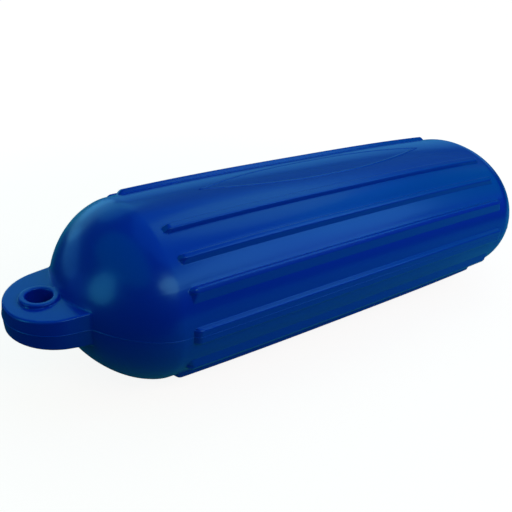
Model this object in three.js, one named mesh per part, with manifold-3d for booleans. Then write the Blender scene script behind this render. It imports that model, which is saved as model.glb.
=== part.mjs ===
// Pneumatic fender: one moulded, air-filled vinyl body with a rope eye at each end, lying on its side.
// Millimetres, +Z up. X runs along the fender, and the origin is its centre. The mould's two halves
// part in the plane z = 0, so every wall is drawn straight up or down, away from that plane.

import * as THREE from 'three';
import { mergeVertices } from 'three/addons/utils/BufferGeometryUtils.js';
import Module from 'manifold-3d';

const wasm = await Module();
wasm.setup();

// Barrel and domed ends
const HALF_WIDTH = 80;
const HALF_HEIGHT = 67;
const BARREL_LENGTH = 368;
const DOME_DEPTH = 58.5;
const SHOULDER_POWER = 1.15;
const NOSE_POWER = 1.19;

// The air rounds the section: half of it stands this much higher at mid-length than beyond the reach
const SWELL = 4.5;
const SWELL_REACH = 195;
const SWELL_POWER = 3;

// Ribs along the barrel, at these angles from the top and the same from the bottom, on both sides,
// with the width of each one's top
const RIB_ANGLES = [25.8, 44.2, 63.1].map(THREE.MathUtils.degToRad);
const RIB_TOPS = [5.2, 3.6, 3.6];
const RIB_LENGTH = 355;
const RIB_HEIGHT = 3.6;
const RIB_DRAFT = THREE.MathUtils.degToRad(18);
const RIB_EDGE = 0.9;
const RIB_END_RUN = 3.4;
const RIB_ROOT = 4;
const PARTING_RIB_TOP = 11;

// Rope eyes
const EYE_HOLE_RADIUS = 9.3;
const EYE_HOLE_BEYOND_NOSE = 10.8;
const EYE_ABOVE_PARTING = 11;
const EYE_BELOW_PARTING = 12.4;
const EYE_THINNING = 0.065;
const EYE_DRAFT = THREE.MathUtils.degToRad(5);
const EYE_TIP_RADIUS = 36.8;
const EYE_TIP_SETBACK = 11.8;
const EYE_TAPER = THREE.MathUtils.degToRad(7.6);
const EYE_EDGE = 2;
const EYE_ROOT = 27;
const RIM_WIDTH = 4.6;
const RIM_HEIGHT = 2.7;
const RIM_EDGE = 1.2;

// Air valve, on the end away from the front eye
const VALVE_SIDE_ANGLE = THREE.MathUtils.degToRad(52);
const VALVE_DOME_ANGLE = THREE.MathUtils.degToRad(38);
const VALVE_HEAD_RADIUS = 8;
const VALVE_HEAD_DEPTH = 2;
const VALVE_STEM_RADIUS = 5;
const VALVE_STEM_LENGTH = 9;
const VALVE_CROWN = 0.8;
const VALVE_NEEDLE_RADIUS = 1.2;
const VALVE_NEEDLE_DEPTH = 4;
const SEAT_CLEARANCE = 0.3;

// Fineness of the curves
const BODY_SEGMENTS = 76;
const DOME_STEPS = 13;
const TIP_SEGMENTS = 20;
const EDGE_STEPS = 3;
const ROUND_SEGMENTS = 40;
const SAME_PLACE = 0.01;

// Places along the barrel where its section is taken, as parts of its half-length
const STATIONS = [-1, -0.82, -0.45, 0.45, 0.82, 1];

const noseX = BARREL_LENGTH / 2 + DOME_DEPTH;
const holeX = noseX + EYE_HOLE_BEYOND_NOSE;
const rimRadius = EYE_HOLE_RADIUS + RIM_WIDTH;
const rimTop = EYE_ABOVE_PARTING + RIM_HEIGHT;
const rimBottom = -EYE_BELOW_PARTING - RIM_HEIGHT;

function toSolid(geometry) {
  const bare = geometry.clone();
  bare.deleteAttribute('normal');
  bare.deleteAttribute('uv');
  const merged = mergeVertices(bare, 1e-4);
  const mesh = new wasm.Mesh({
    numProp: 3,
    vertProperties: new Float32Array(merged.attributes.position.array),
    triVerts: new Uint32Array(merged.index.array),
  });
  return new wasm.Manifold(mesh);
}

function toGeometry(solid) {
  const mesh = solid.getMesh();
  const geometry = new THREE.BufferGeometry();
  geometry.setAttribute('position', new THREE.BufferAttribute(mesh.vertProperties, 3));
  geometry.setIndex(new THREE.BufferAttribute(mesh.triVerts, 1));
  geometry.computeVertexNormals();
  return geometry;
}

// A profile of (radius, height) points turned about Z.
function turned(points, segments = ROUND_SEGMENTS) {
  return new THREE.LatheGeometry(points, segments).rotateX(Math.PI / 2);
}

// The body's section at the barrel: the angle is 0 at the top and grows towards +Y.
function sectionPoint(angle) {
  return new THREE.Vector2(HALF_WIDTH * Math.sin(angle), HALF_HEIGHT * Math.cos(angle));
}

function sectionNormal(angle) {
  return new THREE.Vector2(Math.sin(angle) / HALF_WIDTH, Math.cos(angle) / HALF_HEIGHT).normalize();
}

function sectionHeightAt(y) {
  return HALF_HEIGHT * Math.sqrt(Math.max(0, 1 - (y / HALF_WIDTH) ** 2));
}

// The domes' profile, from the barrel's edge (turn 0) to the nose (a quarter turn).
function domePoint(turn) {
  const radius = HALF_WIDTH * Math.max(0, Math.cos(turn)) ** SHOULDER_POWER;
  return new THREE.Vector2(radius, BARREL_LENGTH / 2 + DOME_DEPTH * Math.sin(turn) ** NOSE_POWER);
}

function bodySolid() {
  const front = [];
  for (let step = 0; step <= DOME_STEPS; step += 1) {
    front.push(domePoint((step / DOME_STEPS) * (Math.PI / 2)));
  }
  front[DOME_STEPS].x = 0;
  const back = front.map((point) => new THREE.Vector2(point.x, -point.y)).reverse();
  const barrel = STATIONS.slice(1, -1).map((part) => new THREE.Vector2(HALF_WIDTH, (part * BARREL_LENGTH) / 2));
  const profile = [...back, ...barrel, ...front];
  const geometry = new THREE.LatheGeometry(profile, BODY_SEGMENTS, Math.PI / BODY_SEGMENTS);
  geometry.rotateZ(-Math.PI / 2);
  geometry.scale(1, 1, HALF_HEIGHT / HALF_WIDTH);
  return toSolid(geometry);
}

// A rib's section, as (y, z) points from its upper foot over its top to its lower foot. A wall that
// faces the parting plane drops straight down to the body, because the mould half slides off along it.
function ribSection(angle, topWidth, facesParting) {
  const base = sectionPoint(angle);
  const out = sectionNormal(angle);
  const down = new THREE.Vector2(out.y, -out.x);
  const at = (aside, height) => base.clone().addScaledVector(down, aside).addScaledVector(out, height);
  const half = topWidth / 2;
  const edge = half + RIB_EDGE * Math.tan(RIB_DRAFT);
  const foot = half + (RIB_HEIGHT + RIB_ROOT) * Math.tan(RIB_DRAFT);
  const upper = [at(-foot, -RIB_ROOT), at(-edge, RIB_HEIGHT - RIB_EDGE), at(RIB_EDGE - half, RIB_HEIGHT)];
  const lower = [at(half - RIB_EDGE, RIB_HEIGHT)];
  if (facesParting) {
    const wallTop = at(half, RIB_HEIGHT);
    lower.push(new THREE.Vector2(wallTop.x, wallTop.y - RIB_EDGE));
    lower.push(new THREE.Vector2(wallTop.x, sectionHeightAt(wallTop.x) - RIB_ROOT));
  } else {
    lower.push(at(edge, RIB_HEIGHT - RIB_EDGE), at(foot, -RIB_ROOT));
  }
  return { base, out, points: [...upper, ...lower] };
}

// The section drawn out along X through the stations, its ends leaning inwards as they rise.
function ribSolid(section, sideY, sideZ) {
  const mirror = (point) => new THREE.Vector2(point.x * sideY, point.y * sideZ);
  const shape = new THREE.Shape(section.points.map(mirror));
  const spans = STATIONS.length - 1;
  const geometry = new THREE.ExtrudeGeometry(shape, { depth: spans, steps: spans, bevelEnabled: false });
  const base = mirror(section.base);
  const out = mirror(section.out);
  const position = geometry.attributes.position;
  for (let i = 0; i < position.count; i += 1) {
    const point = new THREE.Vector2(position.getX(i), position.getY(i));
    const height = point.clone().sub(base).dot(out);
    const reach = RIB_LENGTH / 2 - (RIB_END_RUN / RIB_HEIGHT) * height;
    const station = STATIONS[Math.round(position.getZ(i))];
    position.setXYZ(i, station * reach, point.x, point.y);
  }
  return toSolid(geometry);
}

function allRibs() {
  const ribs = [];
  for (const sideY of [1, -1]) {
    ribs.push(ribSolid(ribSection(Math.PI / 2, PARTING_RIB_TOP, false), sideY, 1));
    for (const sideZ of [1, -1]) {
      RIB_ANGLES.forEach((angle, i) => {
        ribs.push(ribSolid(ribSection(angle, RIB_TOPS[i], true), sideY, sideZ));
      });
    }
  }
  return ribs;
}

// The eye's plate seen from above: a round tip and two flanks that widen into the dome.
function eyeOutline() {
  const tipX = holeX - EYE_TIP_SETBACK;
  const radius = EYE_TIP_RADIUS - EYE_EDGE;
  const rootX = noseX - EYE_ROOT;
  const meet = Math.PI / 2 - EYE_TAPER;
  const meetX = tipX + radius * Math.cos(meet);
  const meetY = radius * Math.sin(meet);
  const rootY = meetY + (meetX - rootX) * Math.tan(EYE_TAPER);
  const outline = new THREE.Shape();
  outline.moveTo(rootX, -rootY);
  outline.lineTo(meetX, -meetY);
  outline.absarc(tipX, 0, radius, -meet, meet, false);
  outline.lineTo(rootX, rootY);
  outline.closePath();
  return outline;
}

// The plate is drawn in as it leaves the parting plane, and each of its faces falls towards the tip.
function eyePlate() {
  const depth = EYE_ABOVE_PARTING + EYE_BELOW_PARTING;
  const geometry = new THREE.ExtrudeGeometry(eyeOutline(), {
    depth: depth - 2 * EYE_EDGE,
    steps: 2,
    curveSegments: TIP_SEGMENTS,
    bevelThickness: EYE_EDGE,
    bevelSize: EYE_EDGE,
    bevelSegments: EDGE_STEPS,
  });
  geometry.translate(0, 0, EYE_EDGE - depth / 2);
  const tipX = holeX - EYE_TIP_SETBACK;
  const position = geometry.attributes.position;
  for (let i = 0; i < position.count; i += 1) {
    const x = position.getX(i);
    const fromMiddle = position.getZ(i);
    const side = Math.abs(fromMiddle) < SAME_PLACE ? 0 : Math.sign(fromMiddle);
    const face = side > 0 ? EYE_ABOVE_PARTING : EYE_BELOW_PARTING;
    const level = Math.abs(side) * (Math.abs(fromMiddle) + face - depth / 2);
    const height = level * (1 - (EYE_THINNING * (x - holeX)) / face);
    const drawnIn = 1 - (height * Math.tan(EYE_DRAFT)) / EYE_TIP_RADIUS;
    position.setXYZ(i, tipX + (x - tipX) * drawnIn, position.getY(i) * drawnIn, side * height);
  }
  return toSolid(geometry);
}

// A quarter circle of (radius, height) points about a centre.
function arc(centreR, centreZ, radius, from, to) {
  const points = [];
  for (let step = 0; step <= EDGE_STEPS; step += 1) {
    const angle = from + ((to - from) * step) / EDGE_STEPS;
    points.push(new THREE.Vector2(centreR + radius * Math.cos(angle), centreZ + radius * Math.sin(angle)));
  }
  return points;
}

function rimSolid() {
  const edgeR = rimRadius - RIM_EDGE;
  const geometry = turned([
    new THREE.Vector2(0, rimBottom),
    ...arc(edgeR, rimBottom + RIM_EDGE, RIM_EDGE, -Math.PI / 2, 0),
    ...arc(edgeR, rimTop - RIM_EDGE, RIM_EDGE, 0, Math.PI / 2),
    new THREE.Vector2(0, rimTop),
  ]);
  return toSolid(geometry.translate(holeX, 0, 0));
}

// What the mould's core pin leaves: a straight hole whose mouths are rounded outwards.
function holeSolid() {
  const mouthR = EYE_HOLE_RADIUS + RIM_EDGE;
  const geometry = turned([
    new THREE.Vector2(0, rimBottom - RIM_EDGE),
    new THREE.Vector2(mouthR, rimBottom - RIM_EDGE),
    ...arc(mouthR, rimBottom + RIM_EDGE, RIM_EDGE, -Math.PI / 2, -Math.PI),
    ...arc(mouthR, rimTop - RIM_EDGE, RIM_EDGE, Math.PI, Math.PI / 2),
    new THREE.Vector2(mouthR, rimTop + RIM_EDGE),
    new THREE.Vector2(0, rimTop + RIM_EDGE),
  ]);
  return toSolid(geometry.translate(holeX, 0, 0));
}

// Where the valve sits on the dome, with its axis along the dome's outward normal.
function valvePlace() {
  const at = (turn, side) => {
    const point = domePoint(turn);
    const y = point.x * Math.sin(side);
    const z = point.x * Math.cos(side) * (HALF_HEIGHT / HALF_WIDTH);
    return new THREE.Vector3(point.y, y, z);
  };
  const step = 0.01;
  const centre = at(VALVE_DOME_ANGLE, VALVE_SIDE_ANGLE);
  const towardsNose = at(VALVE_DOME_ANGLE + step, VALVE_SIDE_ANGLE).sub(centre);
  const around = at(VALVE_DOME_ANGLE, VALVE_SIDE_ANGLE + step).sub(centre);
  const out = towardsNose.cross(around).normalize();
  if (out.x < 0) {
    out.negate();
  }
  const turn = new THREE.Quaternion().setFromUnitVectors(new THREE.Vector3(0, 0, 1), out);
  return new THREE.Matrix4().compose(centre, turn, new THREE.Vector3(1, 1, 1));
}

// The valve's pocket: a shallow round seat for the head and a blind bore for the stem.
function valvePocket() {
  const seatR = VALVE_HEAD_RADIUS + SEAT_CLEARANCE;
  const boreR = VALVE_STEM_RADIUS + SEAT_CLEARANCE;
  const seatZ = -VALVE_HEAD_DEPTH - SEAT_CLEARANCE;
  const boreZ = -VALVE_HEAD_DEPTH - VALVE_STEM_LENGTH - SEAT_CLEARANCE;
  const geometry = turned([
    new THREE.Vector2(0, boreZ),
    new THREE.Vector2(boreR, boreZ),
    new THREE.Vector2(boreR, seatZ),
    new THREE.Vector2(seatR, seatZ),
    new THREE.Vector2(seatR, VALVE_HEAD_RADIUS),
    new THREE.Vector2(0, VALVE_HEAD_RADIUS),
  ]);
  return toSolid(geometry.applyMatrix4(valvePlace()));
}

// The rubber plug: a crowned head, a stem, and the blind hole that takes the pump's needle.
function valveGeometry() {
  const stemEnd = -VALVE_HEAD_DEPTH - VALVE_STEM_LENGTH;
  const geometry = turned([
    new THREE.Vector2(0, stemEnd),
    new THREE.Vector2(VALVE_STEM_RADIUS, stemEnd),
    new THREE.Vector2(VALVE_STEM_RADIUS, -VALVE_HEAD_DEPTH),
    new THREE.Vector2(VALVE_HEAD_RADIUS, -VALVE_HEAD_DEPTH),
    new THREE.Vector2(VALVE_HEAD_RADIUS, -VALVE_CROWN),
    new THREE.Vector2(VALVE_HEAD_RADIUS - VALVE_CROWN, -VALVE_CROWN / 2),
    new THREE.Vector2(VALVE_NEEDLE_RADIUS, 0),
    new THREE.Vector2(VALVE_NEEDLE_RADIUS, -VALVE_NEEDLE_DEPTH),
    new THREE.Vector2(0, -VALVE_NEEDLE_DEPTH),
  ]);
  return toGeometry(toSolid(geometry.applyMatrix4(valvePlace())));
}

// The same solid at the other end of the fender.
function turnedRound(solid) {
  return toSolid(toGeometry(solid).rotateZ(Math.PI));
}

// Heights only are stretched, so the walls that are drawn straight down stay so.
function swollen(geometry) {
  const position = geometry.attributes.position;
  for (let i = 0; i < position.count; i += 1) {
    const part = Math.min(1, Math.abs(position.getX(i)) / SWELL_REACH);
    const rise = 1 + (SWELL / HALF_HEIGHT) * (1 - part ** SWELL_POWER);
    position.setZ(i, position.getZ(i) * rise);
  }
  geometry.computeVertexNormals();
  return geometry;
}

function fenderGeometry() {
  let solid = bodySolid();
  for (const rib of allRibs()) {
    solid = solid.add(rib);
  }
  const eye = eyePlate().add(rimSolid());
  const hole = holeSolid();
  solid = solid.add(eye).subtract(hole);
  solid = solid.add(turnedRound(eye)).subtract(turnedRound(hole));
  return swollen(toGeometry(solid.subtract(valvePocket())));
}

const vinyl = new THREE.MeshStandardMaterial({ color: 0x0a3a9c, roughness: 0.38, metalness: 0 });
const rubber = new THREE.MeshStandardMaterial({ color: 0x16181c, roughness: 0.7, metalness: 0 });

function part(name, geometry, material) {
  const mesh = new THREE.Mesh(geometry, material);
  mesh.name = name;
  return mesh;
}

const fender = new THREE.Group();
fender.add(part('fender_body', fenderGeometry(), vinyl));
fender.add(part('valve_insert', valveGeometry(), rubber));

export default fender;
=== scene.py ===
# Looks of the pneumatic fender: the moulded vinyl body with rounded rib edges and blended eyes,
# the faint raised panel outline on its crown, the parting line, and the studio around it.
# Lengths of the object are in millimetres and are turned to metres where the meshes are made.
# The studio's places are in metres.

import math

import bpy
import numpy as np
from mathutils import Matrix, Vector


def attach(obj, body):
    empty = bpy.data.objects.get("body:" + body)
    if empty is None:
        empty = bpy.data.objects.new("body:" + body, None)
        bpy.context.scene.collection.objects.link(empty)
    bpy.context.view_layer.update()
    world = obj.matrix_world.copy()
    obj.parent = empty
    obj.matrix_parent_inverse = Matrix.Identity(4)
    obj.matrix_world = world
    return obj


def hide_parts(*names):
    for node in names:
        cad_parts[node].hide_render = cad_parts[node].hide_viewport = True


MM = 0.001
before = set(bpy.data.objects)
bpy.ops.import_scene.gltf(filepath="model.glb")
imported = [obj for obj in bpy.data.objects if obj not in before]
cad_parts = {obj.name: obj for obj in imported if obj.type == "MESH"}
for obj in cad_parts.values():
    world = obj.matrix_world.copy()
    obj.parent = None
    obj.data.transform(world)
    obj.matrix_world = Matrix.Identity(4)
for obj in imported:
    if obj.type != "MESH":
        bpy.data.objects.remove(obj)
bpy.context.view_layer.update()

# Sizes from the CAD source. Some are slightly smaller here: the height, the swell, the ribs and the
# eye's tip to keep the beads inside the CAD's box, the eye's edge and rim to look like the photo's.
HALF_WIDTH, HALF_HEIGHT = 80.0, 66.65
HALF_BARREL, DOME_DEPTH = 184.0, 58.5
SHOULDER_POWER, NOSE_POWER = 1.15, 1.19
SHOULDER, NOSE = 2 / SHOULDER_POWER, 2 / NOSE_POWER
SWELL, SWELL_REACH, SWELL_POWER = 3.93, 195.0, 3
RIB_ANGLES = [math.radians(a) for a in (25.8, 44.2, 63.1)]
RIB_TOPS = [5.2, 3.6, 3.6]
HALF_RIB_LENGTH, RIB_HEIGHT, RIB_DRAFT = 177.5, 3.35, math.radians(18)
RIB_END_RUN, PARTING_RIB_TOP = 3.4, 11.0
HOLE_R, HOLE_X = 9.3, 253.3
EYE_ABOVE, EYE_BELOW, EYE_THINNING = 11.0, 12.4, 0.065
TIP_R, TIP_X, TAPER = 36.55, 241.5, math.radians(7.6)
EYE_EDGE, EYE_DRAFT = 1.3, math.radians(5)
RIM_R, RIM_HEIGHT, RIM_EDGE = 13.7, 2.3, 1.0

VALVE_SIDE, VALVE_TURN = math.radians(52), math.radians(38)
VALVE_HEAD_R, VALVE_HEAD_DEPTH, VALVE_STEM_R, VALVE_STEM = 8.0, 2.0, 5.0, 9.0
SEAT = 0.3

# Roundings that only show close by
RIB_CREST_ROUND, RIB_EDGE_ROUND, RIB_FOOT_ROUND, RIB_END_ROUND = 1.1, 1.7, 0.5, 2.0
RIB_CORNER_ROUND = 1.2
EYE_BLEND, RIM_BLEND, MOUTH_BLEND = 1.2, 0.9, 1.3

# The parting line's bead, and the lip round the bare panel on the crown
PARTING_HEIGHT, PARTING_HALF_WIDTH = 0.22, 0.4
PANEL_HALF_LENGTH, PANEL_HALF_WIDTH, PANEL_FULLNESS = 126.0, 17.0, 2.3
PANEL_LIP_HEIGHT, PANEL_LIP_RISE, PANEL_LIP_FALL = 0.5, 2.2, 0.7
BEAD_ROOT, BEAD_FOOT = -0.5, -0.02

# How the meshes are laid out: where the end's own mesh begins, the spacing round the section, the
# smooth skin beyond a rib's foot (radians), and the angles from which an edge is shaded sharp
CAP_X = 218.0
SECTION_SPACING = 3.0
FOOT_AHEAD, FOOT_GAP = 0.03, 0.012
SHARP_BODY, SHARP_VALVE = math.radians(42), math.radians(35)

# Finishes: colours are linear
VINYL_COLOUR, VINYL_ROUGHNESS, VINYL_IOR = (0.0, 0.027, 0.4), 0.28, 1.5
SHEEN_LEVEL, SHEEN_TINT = 0.5, (0.45, 0.9, 1.0)
SKIN_WEIGHT, SKIN_ROUGHNESS, SKIN_IOR = 0.35, 0.16, 1.5
UNEVEN_SCALE, UNEVEN_DETAIL, UNEVEN_STRENGTH, UNEVEN_DEPTH = 16, 2, 0.25, 0.0012
GRAIN_SCALE, GRAIN_DETAIL, GRAIN_STRENGTH, GRAIN_DEPTH = 420, 3, 0.06, 0.0002
RUBBER_COLOUR, RUBBER_ROUGHNESS, RUBBER_LEVEL = (0.012, 0.013, 0.015), 0.62, 0.35

# The camera, in metres and radians
CAMERA = Vector((-0.3771, -0.3793, 0.2538))
AZIMUTH, ELEVATION, ROLL = 0.8811, -0.4817, 0.0962
LENS, SENSOR = 45.07, 36.0
CLIP_NEAR, CLIP_FAR = 0.01, 50

# The floor: its half size in millimetres, what the object gets back from it, with a dark card on its
# near left (between two places along X), and what the camera sees, which rises to white over FLOOR_FADE
LOWEST = -(HALF_HEIGHT + SWELL) * MM
FLOOR_HALF, FLOOR_GAP = 6000, 0.0001
FLOOR_BOUNCE = (0.2, 0.6, 0.5)
FLOOR_CARD, FLOOR_CARD_TINT = (-0.34, -0.12), (0.03, 0.1, 0.08)
FLOOR_GLOW, FLOOR_PALE, FLOOR_FADE = 0.9, (1.0, 0.25, 0.16), (0.3, 0.9)

# The light: what the room gives, how much wider an oval is than a box of the same area, and the lamps
ROOM_TINT = (0.0, 0.045, 0.02)
OVAL = 2 / math.sqrt(math.pi)
LAMPS = [
    # name, azimuth and elevation in degrees, distance, width and height in metres, colour
    ("key", -46, 38, 1.2, 0.62, 0.62, (0.3, 1.02, 2.3)),
    ("key_middle", -66, 44, 1.2, 0.5, 0.5, (0.05, 0.35, 0.3)),
    ("key_low", -42, 12, 1.2, 1.0, 0.4, (0.02, 0.05, 0.55)),
    ("window", -98, 41, 1.2, 0.85, 0.36, (0.85, 2.2, 2.6)),
    ("ceiling", 20, 74, 1.5, 1.8, 1.8, (0.02, 0.22, 0.84)),
    ("backdrop_low", 55, 10, 1.5, 2.7, 0.58, (0.06, 0.3, 0.62)),
    ("backdrop_high", 46, 37, 1.5, 2.4, 0.55, (0.05, 0.2, 0.14)),
    ("overhead_left", 175, 47, 1.4, 1.6, 0.9, (0.0, 0.27, 0.17)),
    ("right", -20, 35, 1.3, 0.8, 0.8, (0.0, 0.34, 0.2)),
    ("right_high", 20, 60, 1.3, 0.8, 0.6, (0.2, 0.72, 0.3)),
    ("left", 177, 14, 1.2, 0.4, 0.54, (0.18, 1.3, 1.7)),
    ("back_left", 100, 12, 1.4, 0.8, 0.6, (0.12, 0.5, 0.7)),
    ("back_left_high", 92, 34, 1.4, 0.8, 0.5, (0.06, 0.42, 0.6)),
    ("rim", 128, 8, 1.4, 0.9, 0.4, (0.06, 0.36, 0.75)),
    ("rim_far", 155, 4, 1.4, 0.6, 0.4, (0.02, 0.1, 0.5)),
]


def mesh_object(name, points, faces, material):
    mesh = bpy.data.meshes.new(name)
    mesh.from_pydata((np.asarray(points) * MM).tolist(), [], [list(map(int, f)) for f in faces])
    mesh.polygons.foreach_set("use_smooth", [True] * len(mesh.polygons))
    mesh.update()
    obj = bpy.data.objects.new(name, mesh)
    bpy.context.scene.collection.objects.link(obj)
    if material is not None:
        mesh.materials.append(material)
    return obj


# The section of the barrel
def ellipse(angle):
    return np.array([HALF_WIDTH * math.sin(angle), HALF_HEIGHT * math.cos(angle)])


def ellipse_normal(angle):
    n = np.array([math.sin(angle) / HALF_WIDTH, math.cos(angle) / HALF_HEIGHT])
    return n / np.linalg.norm(n)


def foot_depth(point, out):
    """How far the point stands off the ellipse, measured back along out."""
    scale = np.array([1 / HALF_WIDTH, 1 / HALF_HEIGHT])
    p, d = point * scale, out * scale
    a, b, c = d @ d, -2 * p @ d, p @ p - 1
    return (-b - math.sqrt(max(b * b - 4 * a * c, 0))) / (2 * a)


def angle_on_ellipse(point):
    return math.atan2(point[0] / HALF_WIDTH, point[1] / HALF_HEIGHT)


def rounded(corner, before, after, radius, steps):
    """The corner's fillet, as points on an arc that touches both of its sides."""
    u = (before - corner) / np.linalg.norm(before - corner)
    v = (after - corner) / np.linalg.norm(after - corner)
    half = math.acos(max(-1, min(1, u @ v))) / 2
    reach = radius / math.tan(half)
    share = 0.62
    limit = min(share * np.linalg.norm(before - corner), share * np.linalg.norm(after - corner))
    if reach > limit:
        radius *= limit / reach
        reach = limit
    centre = corner + (u + v) / np.linalg.norm(u + v) * radius / math.sin(half)
    a, b = corner + u * reach - centre, corner + v * reach - centre
    turn = math.acos(max(-1, min(1, (a @ b) / (radius * radius))))
    points = []
    for i in range(steps + 1):
        t = i / steps
        points.append(centre + (a * math.sin((1 - t) * turn) + b * math.sin(t * turn)) / math.sin(turn))
    return points


def rib_corners(angle, top_width, faces_parting):
    base, out = ellipse(angle), ellipse_normal(angle)
    down = np.array([out[1], -out[0]])
    half, deep = top_width / 2, 3.0

    def at(aside, height):
        return base + down * aside + out * height

    def onto(high, low):
        """Where the line from high to low meets the ellipse."""
        lo, hi = 0.0, 1.0
        for _ in range(50):
            mid = (lo + hi) / 2
            p = high + (low - high) * mid
            if (p[0] / HALF_WIDTH) ** 2 + (p[1] / HALF_HEIGHT) ** 2 > 1:
                lo = mid
            else:
                hi = mid
        return high + (low - high) * lo

    top_a, top_b = at(-half, RIB_HEIGHT), at(half, RIB_HEIGHT)
    lean = math.tan(RIB_DRAFT) * (RIB_HEIGHT + deep)
    foot_a = onto(top_a, at(-half - lean, -deep))
    if faces_parting:
        foot_b = onto(top_b, np.array([top_b[0], 0.0]))
    else:
        foot_b = None
    return out, foot_a, top_a, top_b, foot_b


def arc_points(angle_a, angle_b, spacing):
    length = np.linalg.norm(ellipse(angle_a) - ellipse(angle_b))
    count = max(1, int(round(length / spacing)))
    return [ellipse(angle_a + (angle_b - angle_a) * i / count) for i in range(count + 1)]


def corner_inset(point, angle, top_width):
    """How far the rib's end is drawn back at this point of its section, by its corners' round."""
    base, out = ellipse(angle), ellipse_normal(angle)
    aside = abs((point - base) @ np.array([out[1], -out[0]]))
    within = min(max(top_width / 2 - aside, 0.0), RIB_CORNER_ROUND)
    return RIB_CORNER_ROUND - math.sqrt(RIB_CORNER_ROUND ** 2 - (RIB_CORNER_ROUND - within) ** 2)


def joined(before, after, between):
    """Both runs of points with some more in the straight gap between them."""
    a, b = before[-1], after[0]
    return before + [a + (b - a) * (i + 1) / (between + 1) for i in range(between)] + after


def quarter_section():
    """Rows of (foot on the ellipse, height, out, inset) from the crown (0) to the parting plane."""
    rows, last = [], 0.0
    for angle, top_width in zip(RIB_ANGLES, RIB_TOPS):
        out, foot_a, top_a, top_b, foot_b = rib_corners(angle, top_width, True)
        arc = arc_points(last, angle_on_ellipse(foot_a), SECTION_SPACING)
        rows += [(p, 0.0, ellipse_normal(angle_on_ellipse(p)), 0.0) for p in arc[:-1]]
        ahead = ellipse(angle_on_ellipse(foot_b) + FOOT_AHEAD)
        raised = rounded(foot_a, arc[-2], top_a, RIB_FOOT_ROUND, 3)
        raised = joined(raised, rounded(top_a, foot_a, top_b, RIB_CREST_ROUND, 5), 2)
        raised = joined(raised, rounded(top_b, top_a, foot_b, RIB_EDGE_ROUND, 6), 1)
        raised = joined(raised, rounded(foot_b, top_b, ahead, RIB_FOOT_ROUND, 3), 4)
        for p in raised:
            depth = max(0.0, foot_depth(p, out))
            rows.append((p - out * depth, depth, out, corner_inset(p, angle, top_width)))
        last = angle_on_ellipse(raised[-1]) + FOOT_GAP
    out, foot_a, top_a, top_b, _ = rib_corners(math.pi / 2, PARTING_RIB_TOP, False)
    arc = arc_points(last, angle_on_ellipse(foot_a), SECTION_SPACING)
    rows += [(p, 0.0, ellipse_normal(angle_on_ellipse(p)), 0.0) for p in arc[:-1]]
    raised = rounded(foot_a, arc[-2], top_a, RIB_FOOT_ROUND, 3)
    raised = joined(raised, rounded(top_a, foot_a, top_b, RIB_EDGE_ROUND, 6), 2)
    raised += [np.array([top_a[0], top_a[1] * t]) for t in (0.5, 0.22)]
    raised.append(np.array([top_a[0], 0.0]))
    for p in raised:
        depth = max(0.0, foot_depth(p, out))
        rows.append((p - out * depth, depth, out, corner_inset(p, math.pi / 2, PARTING_RIB_TOP)))
    return rows


def whole_section():
    """The quarter, mirrored round: foot, height, out and inset of every column, from the crown."""
    q = quarter_section()
    quarter = [(f[0], f[1], h, o[0], o[1], inset) for f, h, o, inset in q]
    half = quarter + [(y, -z, h, oy, -oz, inset) for y, z, h, oy, oz, inset in reversed(quarter[:-1])]
    full = half + [(-y, z, h, -oy, oz, inset) for y, z, h, oy, oz, inset in reversed(half[1:-1])]
    return np.array(full)


def dome_scale(x):
    beyond = np.maximum(np.abs(x) - HALF_BARREL, 0) / DOME_DEPTH
    return np.maximum(1 - beyond ** NOSE, 0) ** (1 / SHOULDER)


def swell(x):
    """How many times taller the section stands at x than at the barrel's ends."""
    return 1 + SWELL / HALF_HEIGHT * (1 - np.minimum(1, np.abs(x) / SWELL_REACH) ** SWELL_POWER)


def soft_min(a, b, k):
    return np.minimum(a, b) - np.maximum(k - np.abs(a - b), 0) ** 2 / (4 * k)


def row_places():
    """Where the cross-sections stand: far apart on the barrel and close together at the ribs' ends."""
    parts = [
        np.linspace(0, HALF_RIB_LENGTH - 7.5, 19),
        np.arange(HALF_RIB_LENGTH - 6.6, HALF_RIB_LENGTH + 1.0, 0.6),
        np.linspace(HALF_RIB_LENGTH + 2.0, HALF_BARREL, 4),
        np.linspace(HALF_BARREL + 1.5, CAP_X, 16),
    ]
    half = [float(x) for part in parts for x in part]
    return np.array([-x for x in reversed(half[1:])] + half)


def barrel_grid():
    section = whole_section()
    places = row_places()
    foot, height, out, inset = section[:, 0:2], section[:, 2], section[:, 3:5], section[:, 5]
    points = []
    for x in places:
        limit = np.maximum(0, (HALF_RIB_LENGTH - inset - abs(x)) * RIB_HEIGHT / RIB_END_RUN)
        sloped = np.maximum(0, soft_min(height, limit, RIB_END_ROUND))
        h = np.where(limit > RIB_HEIGHT + RIB_END_ROUND, height, sloped)
        yz = foot * float(dome_scale(x)) + out * np.where(height > 0, h, 0)[:, None]
        yz = yz * [1.0, float(swell(x))]
        points.append(np.column_stack([np.full(len(yz), x), yz]))
    n, m = len(places), len(section)
    faces = []
    for i in range(n - 1):
        for j in range(m):
            k = (j + 1) % m
            faces.append((i * m + j, i * m + k, (i + 1) * m + k, (i + 1) * m + j))
    return np.concatenate(points), faces, n, m


# The eye and the dome's end, as one smooth field
def round_box(a, b, edge):
    """Distance to a corner whose two faces lie at a = 0 and b = 0, rounded by edge."""
    p, q = a + edge, b + edge
    return np.minimum(np.maximum(p, q), 0) + np.hypot(np.maximum(p, 0), np.maximum(q, 0)) - edge


def eye_outline(x, y):
    """Distance to the plate's outline in its own plane: a round tip between two straight flanks."""
    dx, dy = x - TIP_X, np.abs(y)
    flank = dx * math.sin(TAPER) + dy * math.cos(TAPER) - TIP_R
    return np.where(dy * math.sin(TAPER) < dx * math.cos(TAPER), np.hypot(dx, dy) - TIP_R, flank)


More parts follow.
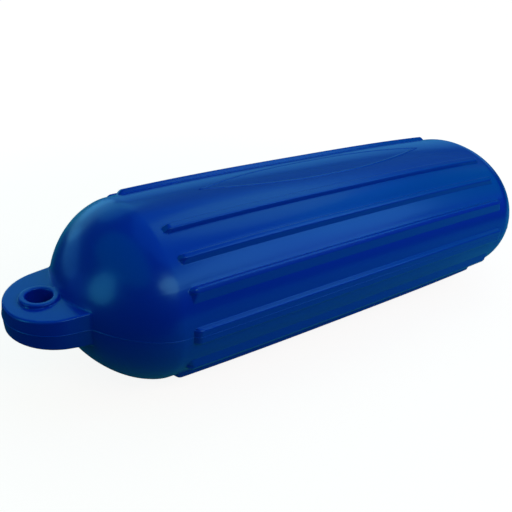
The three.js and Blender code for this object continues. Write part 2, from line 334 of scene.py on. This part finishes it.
def field(x, y, z):
    """Below 0 inside the dome, the eye's plate or its rim, and above 0 in the open and in the hole."""
    rho = np.maximum(np.hypot(y / HALF_WIDTH, z / HALF_HEIGHT), 1e-6)
    beyond = np.maximum(x - HALF_BARREL, 1e-6) / DOME_DEPTH
    g = rho ** SHOULDER + beyond ** NOSE - 1
    gr = SHOULDER * rho ** (SHOULDER - 2)
    gx = NOSE * beyond ** (NOSE - 1) / DOME_DEPTH
    body = g / np.sqrt(gx ** 2 + (gr * y / HALF_WIDTH ** 2) ** 2 + (gr * z / HALF_HEIGHT ** 2) ** 2)
    away = np.hypot(x - HOLE_X, y)
    level = np.where(z > 0, EYE_ABOVE, EYE_BELOW)
    half = level - EYE_THINNING * (x - HOLE_X)
    drafted = eye_outline(x, y) + np.abs(z) * math.tan(EYE_DRAFT)
    plate = round_box(drafted, np.abs(z) - half, EYE_EDGE)
    rim = round_box(away - RIM_R, np.abs(z) - level - RIM_HEIGHT, RIM_EDGE)
    f = soft_min(body, plate, EYE_BLEND)
    f = soft_min(f, rim, RIM_BLEND)
    return -soft_min(-f, away - HOLE_R, MOUTH_BLEND)


def gradient(p, e=0.03):
    g = np.empty_like(p)
    for a in range(3):
        up, dn = p.copy(), p.copy()
        up[:, a] += e
        dn[:, a] -= e
        g[:, a] = (field(*up.T) - field(*dn.T)) / (2 * e)
    return g


def spaced(*stops):
    """Grid planes through (place, spacing) stops, with that spacing up to the next stop."""
    planes = []
    for (a, step), (b, _) in zip(stops[:-1], stops[1:]):
        planes += list(np.linspace(a, b, max(1, int(round((b - a) / step))), endpoint=False))
    return np.array(planes + [stops[-1][0]])


def end_cap():
    """Surface nets over the field, each point then moved onto the surface.

    The grid is fine at the plate, its edges and its rim, and coarse over the plain dome.
    """
    xs = spaced((CAP_X + 0.7, 1.3), (236.0, 0.85), (281.0, 0))
    side = spaced((0.0, 0.85), (17.0, 1.2), (30.0, 0.8), (41.0, 1.8), (66.5, 0))
    ys = np.concatenate([-side[:0:-1], side])
    up = spaced((0.0, 1.5), (7.5, 0.7), (14.4, 1.8), (56.0, 0))
    zs = np.concatenate([-up[:0:-1], up])
    grid = np.meshgrid(xs, ys, zs, indexing="ij")
    values = field(*grid)
    shape = tuple(s - 1 for s in values.shape)
    total = int(np.prod(shape))
    sums, counts, quads = np.zeros((total, 3)), np.zeros(total), []
    axes = [xs, ys, zs]
    for axis in range(3):
        lo = np.take(values, range(values.shape[axis] - 1), axis)
        hi = np.take(values, range(1, values.shape[axis]), axis)
        where = np.argwhere((lo < 0) != (hi < 0))
        a, b = lo[tuple(where.T)], hi[tuple(where.T)]
        t = a / (a - b)
        cross = np.column_stack([axes[k][where[:, k]] for k in range(3)]).astype(float)
        cross[:, axis] += t * (axes[axis][where[:, axis] + 1] - axes[axis][where[:, axis]])
        u, v = (axis + 1) % 3, (axis + 2) % 3
        corners, valid = [], np.ones(len(where), bool)
        for du, dv in ((-1, -1), (0, -1), (0, 0), (-1, 0)):
            cell = where.copy()
            cell[:, u] += du
            cell[:, v] += dv
            ok = np.all((cell >= 0) & (cell < np.array(shape)), axis=1)
            valid &= ok
            index = np.where(ok, (cell[:, 0] * shape[1] + cell[:, 1]) * shape[2] + cell[:, 2], 0)
            np.add.at(sums, index[ok], cross[ok])
            np.add.at(counts, index[ok], 1)
            corners.append(index)
        corners = np.column_stack(corners)
        outward = (a < 0)
        corners = np.where(outward[:, None], corners, corners[:, ::-1])
        quads.append(corners[valid])
    quads = np.concatenate(quads)
    used = np.unique(quads)
    renumber = np.full(total, -1)
    renumber[used] = np.arange(len(used))
    quads = renumber[quads]
    points = sums[used] / counts[used][:, None]
    moves, longest = 6, 0.8
    for _ in range(moves):
        f, g = field(*points.T), gradient(points)
        step = g * (f / np.maximum((g ** 2).sum(1), 1e-6))[:, None]
        size = np.linalg.norm(step, axis=1)
        step *= np.minimum(1, longest / np.maximum(size, 1e-9))[:, None]
        points = points - step
    return points, quads


def open_loop(quads):
    """The one open edge of the cap, as point numbers in order."""
    count = {}
    for q in quads:
        for i in range(4):
            a, b = int(q[i]), int(q[(i + 1) % 4])
            count[(a, b)] = count.get((a, b), 0) + 1
    follow = {a: b for (a, b) in count if (b, a) not in count}
    start = next(iter(follow))
    loop, at = [start], follow[start]
    while at != start:
        loop.append(at)
        at = follow[at]
    if len(loop) != len(follow):
        raise ValueError("the cap's edge is not one loop")
    return loop


def around(p):
    return np.arctan2(p[:, 1] / HALF_WIDTH, p[:, 2] / HALF_HEIGHT)


def zipped(points, loop_a, loop_b):
    """Triangles between two closed loops that run the same way round."""
    def prepared(loop):
        angle = around(points[loop])
        first = int(np.argmin(np.abs(angle)))
        loop = list(loop[first:]) + list(loop[:first])
        angle = np.unwrap(around(points[loop]))
        if angle[len(angle) // 2] < angle[0]:
            loop = [loop[0]] + loop[:0:-1]
            angle = np.unwrap(around(points[loop]))
        turn = angle[0] + 2 * math.pi
        return loop + [loop[0]], np.append(angle, turn)

    a, angle_a = prepared(loop_a)
    b, angle_b = prepared(loop_b)
    i = j = 0
    faces = []
    while i < len(a) - 1 or j < len(b) - 1:
        take_a = j == len(b) - 1 or (i < len(a) - 1 and angle_a[i + 1] <= angle_b[j + 1])
        if take_a:
            faces.append((a[i], a[i + 1], b[j]))
            i += 1
        else:
            faces.append((a[i], b[j + 1], b[j]))
            j += 1
    return faces


def body_mesh():
    grid, faces, n, m = barrel_grid()
    cap, quads = end_cap()
    loop = open_loop(quads)
    points = np.concatenate([grid, cap, cap * [-1, 1, 1]])
    first, second = len(grid), len(grid) + len(cap)
    faces = [tuple(f) for f in faces]
    faces += [tuple(int(k) + first for k in q) for q in quads]
    faces += [tuple(int(k) + second for k in reversed(q)) for q in quads]
    far_row = [(n - 1) * m + j for j in range(m)]
    faces += zipped(points, far_row, [k + first for k in loop])
    faces += [f[::-1] for f in zipped(points, list(range(m)), [k + second for k in loop])]
    return points, faces


# Finishes
def principled(name):
    material = bpy.data.materials.new(name)
    material.use_nodes = True
    nodes = material.node_tree.nodes
    return material, material.node_tree, nodes["Principled BSDF"]


def bumped(tree, place, scale, detail, strength, depth):
    """A bump node whose height is noise of that scale over the object."""
    noise = tree.nodes.new("ShaderNodeTexNoise")
    noise.inputs["Scale"].default_value = scale
    noise.inputs["Detail"].default_value = detail
    tree.links.new(place.outputs["Object"], noise.inputs["Vector"])
    bump = tree.nodes.new("ShaderNodeBump")
    bump.inputs["Strength"].default_value = strength
    bump.inputs["Distance"].default_value = depth
    tree.links.new(noise.outputs["Fac"], bump.inputs["Height"])
    return bump


def vinyl_finish():
    """Blue soft PVC: a broad satin sheen, a thin smoother skin over it, and a faint unevenness."""
    material, tree, shader = principled("vinyl")
    shader.inputs["Base Color"].default_value = (*VINYL_COLOUR, 1)
    shader.inputs["Roughness"].default_value = VINYL_ROUGHNESS
    shader.inputs["IOR"].default_value = VINYL_IOR
    shader.inputs["Specular IOR Level"].default_value = SHEEN_LEVEL
    shader.inputs["Specular Tint"].default_value = (*SHEEN_TINT, 1)
    shader.inputs["Coat Weight"].default_value = SKIN_WEIGHT
    shader.inputs["Coat Roughness"].default_value = SKIN_ROUGHNESS
    shader.inputs["Coat IOR"].default_value = SKIN_IOR
    place = tree.nodes.new("ShaderNodeTexCoord")
    uneven = bumped(tree, place, UNEVEN_SCALE, UNEVEN_DETAIL, UNEVEN_STRENGTH, UNEVEN_DEPTH)
    grain = bumped(tree, place, GRAIN_SCALE, GRAIN_DETAIL, GRAIN_STRENGTH, GRAIN_DEPTH)
    tree.links.new(uneven.outputs["Normal"], grain.inputs["Normal"])
    tree.links.new(grain.outputs["Normal"], shader.inputs["Normal"])
    return material


def rubber_finish():
    material, tree, shader = principled("valve_rubber")
    shader.inputs["Base Color"].default_value = (*RUBBER_COLOUR, 1)
    shader.inputs["Roughness"].default_value = RUBBER_ROUGHNESS
    shader.inputs["Specular IOR Level"].default_value = RUBBER_LEVEL
    return material


vinyl = vinyl_finish()
rubber = rubber_finish()


# The parting line and the panel's outline
def bead(name, line, normal, across, profile, material):
    """A low closed bead along a closed line: its profile is (aside, height) off the surface."""
    count, ring = len(line), len(profile)
    points = np.concatenate([line + across * w + normal * h for w, h in profile])
    faces = []
    for i in range(count):
        for k in range(ring):
            a, b = k * count, ((k + 1) % ring) * count
            faces.append((a + i, a + (i + 1) % count, b + (i + 1) % count, b + i))
    return mesh_object(name, points, faces, material)


def parting_contour():
    """The body's outline in the plane where the mould parts, as a closed line from crest to crest."""
    side = []
    for x in row_places():
        if x < 0:
            continue
        limit = max(0.0, (HALF_RIB_LENGTH - x) * RIB_HEIGHT / RIB_END_RUN)
        rise = RIB_HEIGHT
        if limit <= RIB_HEIGHT + RIB_END_ROUND:
            rise = max(0.0, float(soft_min(RIB_HEIGHT, limit, RIB_END_ROUND)))
        side.append((x, HALF_WIDTH * float(dome_scale(x)) + rise))
    centre, count, halvings = CAP_X + 4.0, 240, 45
    first = math.atan2(side[-1][1], side[-1][0] - centre)
    angles = np.linspace(first - 0.01, 0, count)
    lo, hi = np.full(count, 5.0), np.full(count, 90.0)
    for _ in range(halvings):
        mid = (lo + hi) / 2
        inside = plate_or_body(centre + mid * np.cos(angles), mid * np.sin(angles)) < 0
        lo, hi = np.where(inside, mid, lo), np.where(inside, hi, mid)
    side += list(zip(centre + lo * np.cos(angles), lo * np.sin(angles)))
    quarter = np.array(side)
    half = np.concatenate([quarter, quarter[-2::-1] * [1, -1]])
    return np.concatenate([half, half[-2:0:-1] * [-1, 1]])


def plate_or_body(x, y):
    """The field in the parting plane with the rope hole left closed."""
    rho = np.maximum(np.abs(y) / HALF_WIDTH, 1e-6)
    beyond = np.maximum(x - HALF_BARREL, 1e-6) / DOME_DEPTH
    g = rho ** SHOULDER + beyond ** NOSE - 1
    slope = np.hypot(NOSE * beyond ** (NOSE - 1) / DOME_DEPTH, SHOULDER * rho ** (SHOULDER - 1) / HALF_WIDTH)
    return soft_min(g / slope, eye_outline(x, y), EYE_BLEND)


def parting_line():
    flat = parting_contour()
    along = np.roll(flat, -1, axis=0) - np.roll(flat, 1, axis=0)
    along /= np.linalg.norm(along, axis=1)[:, None]
    outward = np.column_stack([-along[:, 1], along[:, 0]])
    outward *= np.sign((outward * flat).sum(1))[:, None]
    zero = np.zeros(len(flat))
    line = np.column_stack([flat, zero])
    normal = np.column_stack([outward, zero])
    across = np.tile([0.0, 0.0, 1.0], (len(flat), 1))
    wide, high = PARTING_HALF_WIDTH, PARTING_HEIGHT
    rising = [(-wide, BEAD_ROOT), (-wide, -0.03), (-0.45 * wide, 0.8 * high)]
    profile = rising + [(0, high)] + [(-aside, height) for aside, height in reversed(rising)]
    return bead("parting_line", line, normal, across, profile, vinyl)


def panel_outline():
    """The pointed oval between the two top ribs: a low lip that rises gently from a bare panel."""
    t = np.linspace(-1, 1, 181)
    half = PANEL_HALF_WIDTH * (1 - np.abs(t) ** PANEL_FULLNESS)
    x = np.concatenate([PANEL_HALF_LENGTH * t, PANEL_HALF_LENGTH * t[-2:0:-1]])
    y = np.concatenate([half, -half[-2:0:-1]])
    z = HALF_HEIGHT * swell(x) * np.sqrt(1 - (y / HALF_WIDTH) ** 2)
    line = np.column_stack([x, y, z])
    normal = np.column_stack([0 * y, y / HALF_WIDTH ** 2, z / HALF_HEIGHT ** 2])
    normal /= np.linalg.norm(normal, axis=1)[:, None]
    along = np.roll(line, -1, axis=0) - np.roll(line, 1, axis=0)
    across = np.cross(normal, along)
    across /= np.linalg.norm(across, axis=1)[:, None]
    across *= np.sign((across[:, 1] * y).sum())
    inner, outer = -PANEL_LIP_RISE, PANEL_LIP_FALL
    profile = [(inner, BEAD_ROOT), (inner, BEAD_FOOT), (0.4 * inner, 0.68 * PANEL_LIP_HEIGHT)]
    profile += [(0, PANEL_LIP_HEIGHT), (outer, BEAD_FOOT), (outer, BEAD_ROOT)]
    return bead("panel_outline", line, normal, across, profile, vinyl)


for moulded in (parting_line(), panel_outline()):
    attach(moulded, "root")


# The body, with the valve's pocket cut in it
def dome_place(turn, side):
    """The dome's point at that turn up from the shoulder and that angle round from the crown."""
    r = HALF_WIDTH * math.cos(turn) ** SHOULDER_POWER
    x = HALF_BARREL + DOME_DEPTH * math.sin(turn) ** NOSE_POWER
    return Vector((x, r * math.sin(side), r * math.cos(side) * HALF_HEIGHT / HALF_WIDTH))


def valve_matrix():
    centre = dome_place(VALVE_TURN, VALVE_SIDE)
    ahead = dome_place(VALVE_TURN + 0.01, VALVE_SIDE) - centre
    aside = dome_place(VALVE_TURN, VALVE_SIDE + 0.01) - centre
    out = ahead.cross(aside).normalized()
    if out.x < 0:
        out.negate()
    return Matrix.Translation(centre * MM) @ out.to_track_quat("Z", "Y").to_matrix().to_4x4()


def turned(name, profile, steps):
    """A closed solid turned about Z from a (radius, height) profile whose ends lie on the axis."""
    inner = profile[1:-1]
    points = [(0, 0, profile[0][1])]
    turns = [2 * math.pi * k / steps for k in range(steps)]
    for r, z in inner:
        points += [(r * math.cos(t), r * math.sin(t), z) for t in turns]
    points.append((0, 0, profile[-1][1]))
    top = len(points) - 1
    faces = [(0, 1 + (k + 1) % steps, 1 + k) for k in range(steps)]
    for i in range(len(inner) - 1):
        a, b = 1 + i * steps, 1 + (i + 1) * steps
        faces += [(a + k, a + (k + 1) % steps, b + (k + 1) % steps, b + k) for k in range(steps)]
    last = 1 + (len(inner) - 1) * steps
    faces += [(last + k, last + (k + 1) % steps, top) for k in range(steps)]
    return mesh_object(name, points, faces, None)


def cut_pocket(body):
    seat_r, bore_r = VALVE_HEAD_R + SEAT, VALVE_STEM_R + SEAT
    seat_z, bore_z = -VALVE_HEAD_DEPTH - SEAT, -VALVE_HEAD_DEPTH - VALVE_STEM - SEAT
    clear, steps = 8.0, 64
    profile = [(0, bore_z), (bore_r, bore_z), (bore_r, seat_z), (seat_r, seat_z), (seat_r, clear), (0, clear)]
    tool = turned("pocket_tool", profile, steps)
    tool.matrix_world = valve_matrix()
    cut = body.modifiers.new("pocket", "BOOLEAN")
    cut.operation, cut.object, cut.solver = "DIFFERENCE", tool, "EXACT"
    bpy.context.view_layer.update()
    graph = bpy.context.evaluated_depsgraph_get()
    made = bpy.data.meshes.new_from_object(body.evaluated_get(graph))
    body.modifiers.clear()
    body.data = made
    bpy.data.objects.remove(tool)
    made.polygons.foreach_set("use_smooth", [True] * len(made.polygons))
    made.set_sharp_from_angle(angle=SHARP_BODY)
    made.update()


body = mesh_object("fender_vinyl", *body_mesh(), vinyl)
cut_pocket(body)
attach(body, "root")
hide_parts("fender_body")

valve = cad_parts["valve_insert"]
valve.data.materials.clear()
valve.data.materials.append(rubber)
valve.data.polygons.foreach_set("use_smooth", [True] * len(valve.data.polygons))
valve.data.set_sharp_from_angle(angle=SHARP_VALVE)


# The studio
def towards(azimuth, elevation):
    """The unit vector in that direction, both angles in radians."""
    level = math.cos(elevation)
    return Vector((level * math.cos(azimuth), level * math.sin(azimuth), math.sin(elevation)))


def place_camera():
    ahead = towards(AZIMUTH, ELEVATION)
    side = ahead.cross(Vector((0, 0, 1))).normalized()
    up = side.cross(ahead)
    right = side * math.cos(ROLL) + up * math.sin(ROLL)
    top = up * math.cos(ROLL) - side * math.sin(ROLL)
    turn = Matrix((right, top, -ahead)).transposed().to_4x4()
    data = bpy.data.cameras.new("camera")
    data.lens, data.sensor_width = LENS, SENSOR
    data.clip_start, data.clip_end = CLIP_NEAR, CLIP_FAR
    data.dof.use_dof = False
    camera = bpy.data.objects.new("camera", data)
    camera.matrix_world = Matrix.Translation(CAMERA) @ turn
    bpy.context.scene.collection.objects.link(camera)
    bpy.context.scene.camera = camera


def area_light(name, azimuth, elevation, distance, width, height, colour):
    """An oval soft light in that direction, with the area of width by height. Its colour is its
    brightness too, where 1 is a white seen as white."""
    data = bpy.data.lights.new(name, "AREA")
    data.shape = "ELLIPSE"
    data.size, data.size_y = width * OVAL, height * OVAL
    level = max(colour)
    data.energy = level * math.pi * width * height
    data.color = [part / level for part in colour]
    light = bpy.data.objects.new(name, data)
    aim = towards(math.radians(azimuth), math.radians(elevation))
    light.location = aim * distance
    light.rotation_mode = "QUATERNION"
    light.rotation_quaternion = aim.to_track_quat("Z", "Y")
    bpy.context.scene.collection.objects.link(light)


def direct_ray(tree):
    """1 where the camera sees this itself, or through something clear."""
    path = tree.nodes.new("ShaderNodeLightPath")
    direct = tree.nodes.new("ShaderNodeMath")
    direct.operation = "MAXIMUM"
    tree.links.new(path.outputs["Is Camera Ray"], direct.inputs[0])
    tree.links.new(path.outputs["Is Transmission Ray"], direct.inputs[1])
    return direct.outputs[0]


def studio_world():
    world = bpy.data.worlds.new("studio")
    world.use_nodes = True
    bpy.context.scene.world = world
    tree = world.node_tree
    tree.nodes.clear()
    out = tree.nodes.new("ShaderNodeOutputWorld")
    mix = tree.nodes.new("ShaderNodeMixShader")
    dim = tree.nodes.new("ShaderNodeBackground")
    dim.inputs["Color"].default_value = (*ROOM_TINT, 1)
    dim.inputs["Strength"].default_value = 1.0
    white = tree.nodes.new("ShaderNodeBackground")
    white.inputs["Color"].default_value = (1, 1, 1, 1)
    white.inputs["Strength"].default_value = 1.0
    tree.links.new(direct_ray(tree), mix.inputs["Fac"])
    tree.links.new(dim.outputs[0], mix.inputs[1])
    tree.links.new(white.outputs[0], mix.inputs[2])
    tree.links.new(mix.outputs[0], out.inputs["Surface"])


def studio_floor():
    """Pale floor: it looks white and keeps a soft shadow, and gives the object a weaker bounce,
    which is weakest over the dark card on its near left."""
    material = bpy.data.materials.new("floor")
    material.use_nodes = True
    tree = material.node_tree
    tree.nodes.clear()
    out = tree.nodes.new("ShaderNodeOutputMaterial")
    mix = tree.nodes.new("ShaderNodeMixShader")
    bounce = tree.nodes.new("ShaderNodeBsdfDiffuse")
    place = tree.nodes.new("ShaderNodeTexCoord")
    split = tree.nodes.new("ShaderNodeSeparateXYZ")
    tree.links.new(place.outputs["Object"], split.inputs[0])
    card = tree.nodes.new("ShaderNodeMapRange")
    card.interpolation_type = "SMOOTHSTEP"
    card.inputs["From Min"].default_value, card.inputs["From Max"].default_value = FLOOR_CARD
    tree.links.new(split.outputs["X"], card.inputs["Value"])
    shade = tree.nodes.new("ShaderNodeMix")
    shade.data_type = "RGBA"
    tree.links.new(card.outputs["Result"], shade.inputs["Factor"])
    shade.inputs["A"].default_value = (*FLOOR_CARD_TINT, 1)
    shade.inputs["B"].default_value = (*FLOOR_BOUNCE, 1)
    tree.links.new(shade.outputs["Result"], bounce.inputs["Color"])
    glow = tree.nodes.new("ShaderNodeEmission")
    glow.inputs["Color"].default_value = (1, 1, 1, 1)
    away = tree.nodes.new("ShaderNodeVectorMath")
    away.operation = "LENGTH"
    tree.links.new(place.outputs["Object"], away.inputs[0])
    rise = tree.nodes.new("ShaderNodeMapRange")
    rise.interpolation_type = "SMOOTHSTEP"
    rise.inputs["From Min"].default_value, rise.inputs["From Max"].default_value = FLOOR_FADE
    rise.inputs["To Min"].default_value, rise.inputs["To Max"].default_value = FLOOR_GLOW, 1.0
    tree.links.new(away.outputs["Value"], rise.inputs["Value"])
    tree.links.new(rise.outputs["Result"], glow.inputs["Strength"])
    pale = tree.nodes.new("ShaderNodeBsdfDiffuse")
    pale.inputs["Color"].default_value = (*FLOOR_PALE, 1)
    both = tree.nodes.new("ShaderNodeAddShader")
    tree.links.new(glow.outputs[0], both.inputs[0])
    tree.links.new(pale.outputs[0], both.inputs[1])
    tree.links.new(direct_ray(tree), mix.inputs["Fac"])
    tree.links.new(bounce.outputs[0], mix.inputs[1])
    tree.links.new(both.outputs[0], mix.inputs[2])
    tree.links.new(mix.outputs[0], out.inputs["Surface"])
    s = FLOOR_HALF
    floor = mesh_object("floor", [(-s, -s, 0), (s, -s, 0), (s, s, 0), (-s, s, 0)], [(0, 1, 2, 3)], material)
    floor.location.z = LOWEST - FLOOR_GAP


place_camera()
studio_world()
studio_floor()
for lamp in LAMPS:
    area_light(*lamp)
bpy.context.scene.view_settings.view_transform = "Standard"
